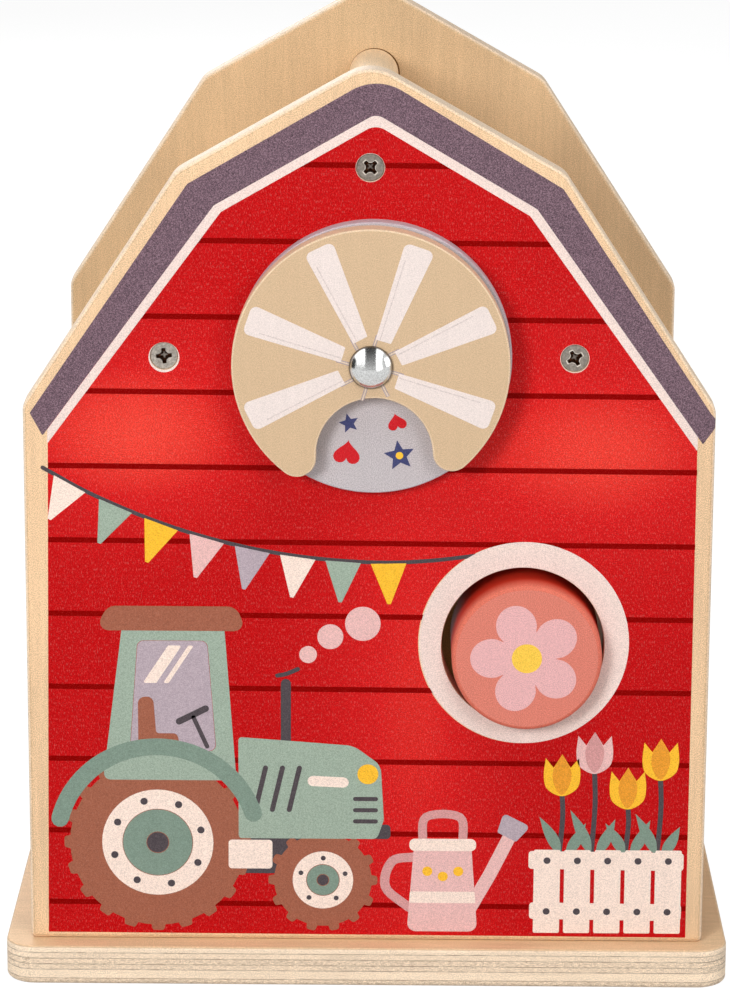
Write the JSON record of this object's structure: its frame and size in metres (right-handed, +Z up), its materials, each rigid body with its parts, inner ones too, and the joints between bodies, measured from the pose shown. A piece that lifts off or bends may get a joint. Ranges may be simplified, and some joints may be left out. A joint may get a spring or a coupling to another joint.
{
  "type": "shape sorter toy",
  "caption": "Barn-shaped wooden shape sorter with a carrying rod, a turning windmill disc, sorting holes with matching blocks and a doorway that gives them back.",
  "frame": {"origin": "middle of the base board's underside", "axes": "+Z up, -Y towards the front gable with the windmill, +X to the right seen from the front"},
  "size_m": [0.215, 0.2102, 0.2733],
  "materials": {
    "birch_ply": "clear lacquered birch plywood, satin",
    "printed_ply": "birch plywood printed red with a bare margin, satin",
    "beech_rod": "clear lacquered turned rod, satin",
    "lavender_print": "printed fibreboard disc, matt",
    "beige_print": "printed fibreboard disc, satin",
    "coral_paint": "painted solid wood, matt",
    "sage_paint": "painted solid wood, matt",
    "yellow_paint": "painted solid wood, matt",
    "screw_steel": "zinc plated",
    "cap_chrome": "polished"
  },
  "bodies": {
    "barn": {"base_board": "birch_ply", "front_panel": "printed_ply", "back_panel": "printed_ply", "top_board": "birch_ply", "left_wall": "birch_ply", "right_wall": "birch_ply", "handle_dowel": "beech_rod", "sky_disc": "lavender_print", "disc_washer": "screw_steel", "windmill_pin": "screw_steel", "hub_cap": "cap_chrome", "handle_screws": "screw_steel", "board_screws": "screw_steel", "base_screws": "screw_steel"},
    "windmill": {"windmill_disc": "beige_print"},
    "round_piece": {"round_block": "coral_paint"},
    "square_piece": {"square_block": "sage_paint"},
    "triangle_piece": {"triangle_block": "yellow_paint"}
  },
  "joints": [
    {"name": "windmill_spin", "type": "hinge", "parent": "barn", "child": "windmill", "pos_m": [0.0005, -0.1022, 0.1903], "axis": [0, 1, 0], "continuous": true},
    {"name": "round_out", "type": "slide", "parent": "barn", "child": "round_piece", "axis": [0, -1, 0], "range_m": [0, 0.06]},
    {"name": "square_out", "type": "slide", "parent": "barn", "child": "square_piece", "axis": [-1, 0, 0], "range_m": [0, 0.06]},
    {"name": "triangle_out", "type": "slide", "parent": "barn", "child": "triangle_piece", "axis": [1, 0, 0], "range_m": [0, 0.06]}
  ]
}
